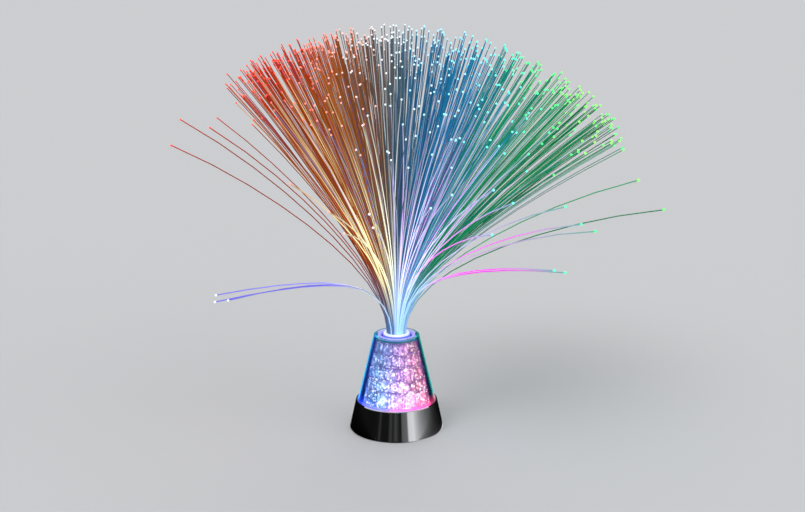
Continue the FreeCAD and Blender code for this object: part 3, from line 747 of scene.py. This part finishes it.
# Painted glints: small white spots scattered over the lumps, each of its own size.
shake = add(tree, "ShaderNodeTexNoise", {"Vector": place, "Scale": 520.0, "Detail": 2.0})
shaken = add(tree, "ShaderNodeVectorMath", {0: shake.outputs["Color"], 1: (0.004, 0.004, 0.004),
                                            2: place}, operation="MULTIPLY_ADD").outputs[0]
spots = add(tree, "ShaderNodeTexVoronoi", {"Vector": shaken, "Scale": 380.0}, feature="F1")
pick = add(tree, "ShaderNodeSeparateColor", {0: spots.outputs["Color"]}).outputs[0]
painted_glint = calc(tree, "LESS_THAN", spots.outputs["Distance"],
             between(tree, pick, 0.30, 1.0, 0.0, 0.50))
# Painted highlight: the glints and bright veins turn white, strongest low in the cone and toward
# its middle.
painted_vein_glow = between(tree, crumple, 0.56, 0.66)
middle = between(tree, calc(tree, "ABSOLUTE", parts["X"]), 0.036, 0.004, 0.55, 1.0)
white = calc(tree, "MULTIPLY", calc(tree, "MAXIMUM", painted_glint, painted_vein_glow),
             calc(tree, "MULTIPLY", low, middle))
lit = blended(tree, white, lit, blended(tree, 0.15, (1, 0.97, 1, 1), hue))
# Painted shade: the glow turns dark violet where a lump turns away from the view and along its
# creases.
edge_on = add(tree, "ShaderNodeLayerWeight", {"Blend": 0.35}).outputs["Facing"]
turned_away = between(tree, edge_on, 0.30, 0.50)
painted_crease_shade = between(tree, rim, 0.86, 0.98, 0.0, 0.45)
dark = calc(tree, "MAXIMUM", turned_away, painted_crease_shade)
bump = add(tree, "ShaderNodeBump", {"Strength": 0.5, "Distance": 0.0005, "Height": crumple})
finish(tree, {
    "Base Color": scaled(tree, hue, 0.12),
    "Roughness": hazed(tree, 300.0, 0.03, 0.08),
    "IOR": 1.49,
    "Transmission Weight": 0.25,
    "Emission Color": blended(tree, dark, lit, (0.03, 0.012, 0.13, 1)),
    "Emission Strength": 1.8,
    "Normal": bump.outputs[0],
})


golden_share = 0.618034
crease_hold = 0.45


def lump_tones(work, layer):
    """Gives each separate lump a tone of its own between 0 and 1."""
    todo = set(work.verts)
    number = 0
    while todo:
        number += 1
        level = (number * golden_share) % 1.0
        front = [todo.pop()]
        while front:
            corner = front.pop()
            corner[layer] = level
            for line in corner.link_edges:
                other = line.other_vert(corner)
                if other in todo:
                    todo.remove(other)
                    front.append(other)


for node in sorted(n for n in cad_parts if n.startswith("crystals_")):
    work = bmesh.new()
    work.from_mesh(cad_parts[node].data)
    bmesh.ops.remove_doubles(work, verts=work.verts, dist=0.00001)
    bmesh.ops.dissolve_limit(work, angle_limit=math.radians(3), verts=work.verts, edges=work.edges)
    rims = work.verts.layers.float.new("rim")
    tones = work.verts.layers.float.new("tone")
    creases = work.edges.layers.float.new("crease_edge")
    for corner in work.verts:
        corner[rims] = 1.0
    for line in work.edges:
        line[creases] = crease_hold
    for centre in bmesh.ops.poke(work, faces=work.faces)["verts"]:
        centre[rims] = 0.0
    lump_tones(work, tones)
    mesh = bpy.data.meshes.new("lumps_" + node[-6:])
    work.to_mesh(mesh)
    work.free()
    mesh.shade_smooth()
    lumps = link_piece("lumps_" + node[-6:], mesh, crystal)
    rounding = lumps.modifiers.new("rounded_lumps", "SUBSURF")
    rounding.levels = 2
    rounding.render_levels = 2
    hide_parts(node)
    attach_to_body(lumps, "housing")

# Lid and light tube. One clear moulding: a lid inside the cone's rim with a raised ring, a hub for
# the collar and a tube down through the crystals. It glows lilac, blue and green from below, a glow
# painted into its colour and emission, dimmer between the hub and the raised ring.
lid_low, lid_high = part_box("lid")
lid_levels = sorted({round(v.co.z, 6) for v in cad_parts["lid"].data.vertices})
lid_top, ring_level = lid_levels[-3:-1]
lid_bottom = max(lid_levels, key=lambda z: radii("lid", z)[1])
hub_bore = radii("lid", lid_low[2])[0]
hub_radius = radii("lid", lid_low[2])[1]
ring_inside, ring_outside = radii("lid", ring_level)
lid_edge = radii("lid", lid_bottom)[1]

lid_glass, tree = new_material("lit_clear_lid")
parts = parts_of(tree)
share = calc(tree, "DIVIDE", from_axis(tree, parts), lid_edge)
step = 0.02
face_glow = stop_ramp(tree, share, [
    (0.0, (0.16, 0.20, 0.60)), (hub_radius / lid_edge, (0.10, 0.14, 0.52)),
    (hub_radius / lid_edge + step, (0.02, 0.04, 0.28)),
    (ring_inside / lid_edge - step, (0.03, 0.06, 0.36)),
    (ring_inside / lid_edge, (0.36, 0.32, 0.80)), (ring_outside / lid_edge, (0.40, 0.34, 0.84)),
    (ring_outside / lid_edge + step, (0.0, 0.07, 0.06)), (1.0, (0.0, 0.10, 0.10)),
])
inner = between(tree, parts["Z"], lid_bottom - 0.001, lid_bottom)
lit = blended(tree, inner, (0.40, 0.20, 0.95, 1), face_glow)
finish(tree, {
    "Base Color": lit,
    "Roughness": hazed(tree, 140.0, 0.03, 0.12),
    "IOR": 1.49,
    "Transmission Weight": 0.4,
    "Emission Color": lit,
    "Emission Strength": 0.7,
})

lid = turned("clear_lid", [
    (hub_bore, lid_low[2]),
    (hub_radius, lid_low[2]),
    (hub_radius, lid_bottom),
    (lid_edge, lid_bottom),
    (radii("lid", lid_top)[1], lid_top),
    (ring_outside, lid_top),
    (ring_outside, ring_level),
    (ring_inside, ring_level),
    (ring_inside, lid_top),
    (hub_radius, lid_top),
    (hub_radius, lid_high[2]),
    (hub_bore, lid_high[2]),
], lid_glass, segments=128, edge=0.00015)
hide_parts("lid")
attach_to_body(lid, "housing")

# Collar. A milky plastic sleeve pushed into the lid's hub, whose flange glows where the bundle's
# light gets into it. This glow is painted into its colour and emission over the whole collar, pale
# blue to white in soft clouds.
milky, tree = new_material("lit_milky_plastic")
cloud = noise(tree, on_lamp(tree), 160.0, 4.0)
tone = stop_ramp(tree, cloud, [(0.0, (0.66, 0.74, 1.0)), (1.0, (0.97, 0.96, 1.0))])
finish(tree, {
    "Base Color": tone,
    "Roughness": hazed(tree, 160.0, 0.18, 0.34),
    "Emission Color": tone,
    "Emission Strength": 0.5,
})

collar_low, collar_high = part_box("collar")
sleeve_bore, sleeve_radius = radii("collar", collar_low[2])
flange = collar_high[0]
collar = turned("milky_collar", [
    (sleeve_bore, collar_low[2]),
    (sleeve_radius, collar_low[2]),
    (sleeve_radius, lid_high[2]),
    (flange, lid_high[2]),
    (flange, collar_high[2]),
    (sleeve_bore, collar_high[2]),
], milky, segments=128, edge=0.00025)
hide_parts("collar")
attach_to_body(collar, "collar")

# Bundle. The strands' lower ends, glued side by side and cut flat. Each strand end shows as a pale
# dot in the darker glue, and both carry a painted glow in their colour and emission.
glued, tree = new_material("glued_strand_ends")
ends = add(tree, "ShaderNodeTexVoronoi", {"Vector": on_lamp(tree), "Scale": 1300.0}, feature="F1")
dot = between(tree, ends.outputs["Distance"], 0.55, 0.35)
lit = blended(tree, dot, (0.10, 0.18, 0.36, 1), (0.45, 0.62, 0.95, 1))
finish(tree, {
    "Base Color": lit,
    "Roughness": between(tree, dot, 0.0, 1.0, 0.35, 0.12),
    "Emission Color": lit,
    "Emission Strength": 0.5,
})
dress(glued, "bundle")

# Strands. Thin clear plastic light guides, glued together in the collar. Each bends outward over
# its first few centimetres and then runs nearly straight to a cut end, whose glow is painted.
strand_radius = 0.00035
bead_radius = 0.00085
strand_points = 12
strand_sides = 5
bend_length = 0.045
bead_corners = 12
bead_swell = 0.4
end_crowding = 1.6
grow, given = new_group("GeometryNodeTree", "grow_strands", [
    ("Geometry", "Geometry", None),
    ("Points", "Int", strand_points),
    ("Sides", "Int", strand_sides),
    ("Bend length", "Float", bend_length),
    ("Start height", "Float", collar_high[2]),
    ("Strand radius", "Float", strand_radius),
    ("Bead radius", "Float", bead_radius),
    ("Bead swell", "Float", bead_swell),
    ("Strand material", "Material", None),
    ("Bead material", "Material", None),
], [("Geometry", "Geometry")])
line = add(grow, "GeometryNodeCurvePrimitiveLine", {"End": (0, 0, 1)})
dots = add(grow, "GeometryNodeResampleCurve", {"Curve": line.outputs[0], "Count": given["Points"]})
spread = add(grow, "GeometryNodeInstanceOnPoints", {"Points": given["Geometry"],
                                                    "Instance": dots.outputs[0]})
lines = add(grow, "GeometryNodeRealizeInstances", {0: spread.outputs[0]})
index = add(grow, "GeometryNodeInputIndex").outputs[0]


def work_out(operation, a, b=0.0, c=0.0):
    return calc(grow, operation, a, b, c)


def root_value(name, which):
    """A value that each strand's root holds, read for the strand of that number."""
    named = add(grow, "GeometryNodeInputNamedAttribute", {"Name": name}, data_type="FLOAT")
    sample = add(grow, "GeometryNodeSampleIndex", {"Geometry": given["Geometry"],
                                                   "Value": named.outputs[0], "Index": which},
                 data_type="FLOAT", domain="POINT")
    return sample.outputs[0]


def number_of(corner, count):
    """The number of the strand that a corner belongs to, where each has as many corners."""
    return work_out("FLOOR", work_out("DIVIDE", work_out("ADD", corner, 0.5), count))


number = number_of(index, given["Points"])
step = work_out("SUBTRACT", index, work_out("MULTIPLY", number, given["Points"]))
spans = work_out("SUBTRACT", given["Points"], 1.0)
here = work_out("DIVIDE", step, spans)
before = work_out("MAXIMUM", work_out("DIVIDE", work_out("SUBTRACT", step, 1.0), spans), 0.0)
length = root_value("length", number)
s_here = work_out("MULTIPLY", length, work_out("POWER", here, end_crowding))
s_before = work_out("MULTIPLY", length, work_out("POWER", before, end_crowding))
run = work_out("SUBTRACT", s_here, s_before)
middle = work_out("MULTIPLY", work_out("ADD", s_here, s_before), 0.5)
decay = work_out("EXPONENT", work_out("DIVIDE", work_out("MULTIPLY", middle, -1.0),
                                      given["Bend length"]))
bent = work_out("MULTIPLY", root_value("lean", number), work_out("SUBTRACT", 1.0, decay))
part_way = work_out("DIVIDE", middle, length)
sag = work_out("MULTIPLY", root_value("sag", number), work_out("POWER", part_way, 2.0))
tilt = work_out("ADD", bent, sag)
veer = work_out("MULTIPLY", root_value("veer", number), work_out("POWER", here, 2.0))
azimuth = work_out("ADD", root_value("azimuth", number), veer)
group = add(grow, "FunctionNodeFloatToInt", {0: number}).outputs[0]


def running_sum(value):
    """The sum over a strand's points so far."""
    return add(grow, "GeometryNodeAccumulateField", {"Value": value, "Group ID": group},
               data_type="FLOAT", domain="POINT").outputs["Leading"]


out = work_out("ADD", root_value("start", number),
               running_sum(work_out("MULTIPLY", run, work_out("SINE", tilt))))
up = work_out("ADD", given["Start height"],
              running_sum(work_out("MULTIPLY", run, work_out("COSINE", tilt))))
point = add(grow, "ShaderNodeCombineXYZ", {
    0: work_out("MULTIPLY", out, work_out("COSINE", azimuth)),
    1: work_out("MULTIPLY", out, work_out("SINE", azimuth)),
    2: up,
})
shape = add(grow, "GeometryNodeSetPosition", {"Geometry": lines.outputs[0],
                                              "Position": point.outputs[0]}).outputs[0]


def keep(geometry, name, value):
    """Stores a value on the strands for their material to read."""
    return add(grow, "GeometryNodeStoreNamedAttribute",
               {"Geometry": geometry, "Name": name, "Value": value},
               data_type="FLOAT", domain="POINT").outputs[0]


def painted(geometry, material, chosen=True):
    return add(grow, "GeometryNodeSetMaterial", {"Geometry": geometry, "Selection": chosen,
                                                 "Material": material}).outputs[0]


strand_facts = ("side", "flush", "pale", "shade")
shape = keep(shape, "along", work_out("DIVIDE", s_here, length))
for fact in strand_facts:
    shape = keep(shape, fact, root_value(fact, number))
profile = add(grow, "GeometryNodeCurvePrimitiveCircle", {"Resolution": given["Sides"],
                                                         "Radius": given["Strand radius"]})
tubes = add(grow, "GeometryNodeCurveToMesh", {"Curve": shape, "Profile Curve": profile.outputs[0],
                                              "Fill Caps": True})
ends = add(grow, "GeometryNodeCurveEndpointSelection", {"Start Size": 0, "End Size": 1})
bead = add(grow, "GeometryNodeMeshIcoSphere", {"Radius": given["Bead radius"], "Subdivisions": 1})
toward_right = add(grow, "ShaderNodeClamp", {"Value": root_value("side", number)}).outputs[0]
beads = add(grow, "GeometryNodeInstanceOnPoints", {
    "Points": shape,
    "Instance": bead.outputs[0],
    "Selection": ends.outputs[0],
    "Scale": work_out("MULTIPLY_ADD", toward_right, given["Bead swell"], 1.0),
})
beads = add(grow, "GeometryNodeRealizeInstances", {0: beads.outputs[0]}).outputs[0]
for fact in strand_facts:
    beads = keep(beads, fact, root_value(fact, number_of(index, bead_corners)))
beads = keep(beads, "bead", 1.0)
both = add(grow, "GeometryNodeJoinGeometry")
grow.links.new(tubes.outputs[0], both.inputs[0])
grow.links.new(beads, both.inputs[0])
whole = add(grow, "GeometryNodeRealizeInstances", {0: both.outputs[0]}).outputs[0]
is_bead = add(grow, "GeometryNodeInputNamedAttribute", {"Name": "bead"}, data_type="FLOAT")
is_bead = work_out("GREATER_THAN", is_bead.outputs[0], 0.5)
whole = painted(whole, given["Strand material"])
whole = painted(whole, given["Bead material"], is_bead)
add(grow, "NodeGroupOutput", {0: whole})

# The strands' painted glow: clear plastic that shows the colour of the light it carries, painted
# into its colour and emission, pale where the strands leave the collar, orange at the lamp's left,
# blue in the middle and green at its right. Painted shade darkens the pale neck at the left.
strand_skin, tree = new_material("lit_strand")
side_share = between(tree, held(tree, "side"), -1.0, 1.0)
along = held(tree, "along")
painted_glow_hue = stop_ramp(tree, side_share, [
    (0.0, (0.20, 0.025, 0.002)), (0.20, (0.34, 0.040, 0.006)), (0.30, (0.32, 0.058, 0.003)),
    (0.37, (0.36, 0.100, 0.012)), (0.43, (0.20, 0.080, 0.036)), (0.49, (0.060, 0.110, 0.145)),
    (0.57, (0.012, 0.140, 0.290)), (0.67, (0.006, 0.190, 0.400)), (0.74, (0.002, 0.240, 0.190)),
    (0.83, (0.002, 0.320, 0.100)), (0.90, (0.002, 0.260, 0.080)), (1.0, (0.001, 0.100, 0.040)),
])
red_end = calc(tree, "MULTIPLY", between(tree, along, 0.86, 1.0),
               between(tree, side_share, 0.42, 0.30))
colour = blended(tree, red_end, painted_glow_hue, (0.48, 0.022, 0.006, 1))
pale_hue = stop_ramp(tree, side_share, [
    (0.38, (0.94, 0.88, 0.44)), (0.47, (0.86, 0.92, 0.68)), (0.56, (0.74, 0.66, 1.0)),
    (0.85, (0.60, 0.72, 0.92)),
])
pale_part = calc(tree, "MULTIPLY", held(tree, "pale"), between(tree, along, 0.45, 1.0, 1.0, 0.35))
colour = blended(tree, pale_part, colour, pale_hue)
flush_hue = stop_ramp(tree, side_share, [(0.50, (0.15, 0.14, 0.66)), (0.58, (0.80, 0.02, 0.70))])
fade = calc(tree, "MAXIMUM", between(tree, along, 0.98, 0.70),
            between(tree, side_share, 0.56, 0.50))
part = calc(tree, "MULTIPLY", between(tree, along, 0.22, 0.50), fade)
colour = blended(tree, calc(tree, "MULTIPLY", held(tree, "flush"), part), colour, flush_hue)
# The neck's painted glow, darker at the left as painted shade.
painted_neck_glow = stop_ramp(tree, side_share, [(0.38, (0.08, 0.15, 0.28)), (0.48, (0.36, 0.56, 0.86)),
                                        (0.62, (0.28, 0.50, 0.76))])
colour = blended(tree, between(tree, along, 0.03, 0.30, 1.0, 0.0), colour, painted_neck_glow)
colour = scaled(tree, colour, held(tree, "shade"))
finish(tree, {
    "Base Color": colour,
    "Roughness": hazed(tree, 90.0, 0.14, 0.30),
    "IOR": 1.49,
    "Specular IOR Level": 0.25,
    "Emission Color": scaled(tree, colour, calc(tree, "MULTIPLY_ADD", pale_part, 1.6, 1.0)),
    "Emission Strength": 0.45,
})

# The cut ends' painted glow: red at the left, pale in the middle, then blue, cyan and green.
bead_skin, tree = new_material("lit_strand_end")
side_share = between(tree, held(tree, "side"), -1.0, 1.0)
end_hue = stop_ramp(tree, side_share, [
    (0.0, (0.90, 0.09, 0.04)), (0.30, (0.95, 0.08, 0.04)), (0.41, (1.0, 0.42, 0.34)),
    (0.48, (0.82, 0.96, 1.0)), (0.60, (0.30, 0.80, 1.0)), (0.70, (0.12, 0.95, 0.75)),
    (0.79, (0.06, 1.0, 0.22)), (0.90, (0.30, 1.0, 0.12)), (1.0, (0.06, 0.72, 0.26)),
])
finish(tree, {
    "Base Color": end_hue,
    "Roughness": hazed(tree, 400.0, 0.10, 0.28),
    "Emission Color": end_hue,
    "Emission Strength": 0.8,
})


def scatter(i, j):
    """A repeatable number from -1 to 1."""
    return 2 * ((math.sin(12.9898 * i + 78.233 * j) * 43758.5453) % 1.0) - 1


def grown(name, roots, nodes, width, bead):
    """Grows strands from their roots, which hold the values named here."""
    labels = ("azimuth", "start", "lean", "sag", "length", "veer") + strand_facts
    choices = {"Strand material": strand_skin, "Bead material": bead_skin,
               "Strand radius": width, "Bead radius": bead}
    made = made_with(grow, name, [(0, 0, 0)] * len(roots), choices, zip(labels, zip(*roots)))
    made.data.shade_smooth()
    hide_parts(*nodes)
    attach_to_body(made, "spray")
    return made


# The even fan, on a sunflower pattern over the bundle's top face. Angles are in degrees.
bundle_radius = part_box("bundle")[1][0]
strand_count = 900
golden_angle = 137.508
room = bundle_radius - 0.0006
lean_even = 43.0
lean_right = 9.0
lean_uneven = 1.6
lean_outlier = 2.5
lean_front = 4.0
lean_front_uneven = 6.0
fan_sag = 7.0
fan_veer = 5.0
fan_length = 0.272
length_uneven = 0.006
length_short = 0.014
outer_from = 0.6
front_from = 0.45
fan = []
for i in range(strand_count):
    share = math.sqrt((i + 0.5) / strand_count)
    azimuth = math.radians(i * golden_angle % 360.0)
    toward_front = max(0.0, -math.sin(azimuth))
    most = lean_even + lean_right * math.cos(azimuth)
    outer = max(0.0, share - outer_from) / (1 - outer_from)
    outlier = outer * max(0.0, scatter(i, 13)) ** 2
    lean = share * most + lean_uneven * scatter(i, 3)
    lean += lean_outlier * (1.0 + math.cos(azimuth)) * outlier
    lean += toward_front ** 2 * outer * (lean_front + lean_front_uneven * scatter(i, 15))
    side = share * math.cos(azimuth) * most / (lean_even + lean_right)
    in_front = max(0.0, share - front_from) * toward_front
    fan.append((
        azimuth,
        share * room,
        math.radians(lean),
        math.radians(fan_sag * share),
        fan_length + length_uneven * scatter(i, 7) - length_short * max(0.0, scatter(i, 9)) ** 3,
        math.radians(fan_veer * scatter(i, 5)),
        max(-1.0, min(1.0, side + 0.05 * scatter(i, 11))),
        max(0.0, scatter(i, 17) - 0.5) * 3.0 * in_front,
        max(0.0, min(0.9, 4.0 * in_front * scatter(i, 19))),
        0.90 + 0.35 * scatter(i, 21),
    ))
fan_nodes = sorted(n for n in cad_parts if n.startswith("strands_ring_"))
grown("strand_fan", fan, fan_nodes, strand_radius, bead_radius)

# The strands that stand out of the fan: azimuth, lean at the tip, sag and length, then the colour's
# side, how violet and how pale they are. Two bunches hang low, one at each side.
stray_radius = 0.00048
stray_bead_radius = 0.0010
loose = [
    (20.0, 57.0, 10.0, 0.274, 0.80, 0.0, 0.0), (60.0, 52.0, 12.0, 0.272, 0.50, 0.0, 0.0),
    (96.0, 55.0, 12.0, 0.274, 0.05, 0.0, 0.0), (150.0, 50.0, 12.0, 0.272, -0.70, 0.0, 0.0),
    (187.0, 44.0, 15.0, 0.274, -0.80, 0.0, 0.0), (196.0, 49.0, 15.0, 0.269, -0.70, 0.0, 0.0),
    (207.0, 41.0, 15.0, 0.263, -0.60, 0.0, 0.0), (248.0, 52.0, 15.0, 0.272, -0.24, 0.0, 0.8),
    (257.0, 57.0, 15.0, 0.269, -0.20, 0.0, 0.9), (260.5, 61.0, 15.0, 0.267, -0.16, 0.0, 0.9),
    (266.0, 60.0, 15.0, 0.272, -0.10, 0.0, 0.8), (265.0, 57.0, 15.0, 0.267, -0.08, 0.0, 0.7),
    (277.0, 56.0, 15.0, 0.269, 0.12, 0.0, 0.9), (281.5, 53.5, 15.0, 0.270, 0.15, 0.0, 0.8),
    (288.0, 62.0, 15.0, 0.272, 0.30, 0.8, 0.9), (290.5, 53.0, 15.0, 0.270, 0.25, 0.0, 0.9),
    (294.0, 56.0, 15.0, 0.270, 0.35, 0.5, 0.8), (306.0, 58.0, 15.0, 0.270, 0.50, 0.2, 0.6),
    (311.0, 64.0, 15.0, 0.272, 0.55, 0.3, 0.5), (309.0, 62.0, 15.0, 0.268, 0.50, 0.8, 0.7),
    (339.0, 65.0, 15.0, 0.277, 0.90, 0.0, 0.0), (336.0, 57.0, 15.0, 0.272, 0.75, 0.0, 0.1),
    (238.0, 81.0, 4.0, 0.272, -0.01, 1.0, 0.6), (237.2, 79.5, 5.0, 0.268, -0.02, 0.9, 0.9),
    (238.9, 80.0, 6.0, 0.262, -0.01, 1.0, 0.3), (301.0, 74.0, 7.0, 0.272, 0.50, 1.0, 0.5),
    (300.2, 73.0, 8.0, 0.264, 0.45, 0.9, 0.7),
]
strays = [
    (math.radians(azimuth), bundle_radius - 0.0004, math.radians(lean), math.radians(sag), length,
     0.0, side, flush, pale, 1.0)
    for azimuth, lean, sag, length, side, flush, pale in loose
]
grown("stray_strands", strays, ["strands_stray"], stray_radius, stray_bead_radius)
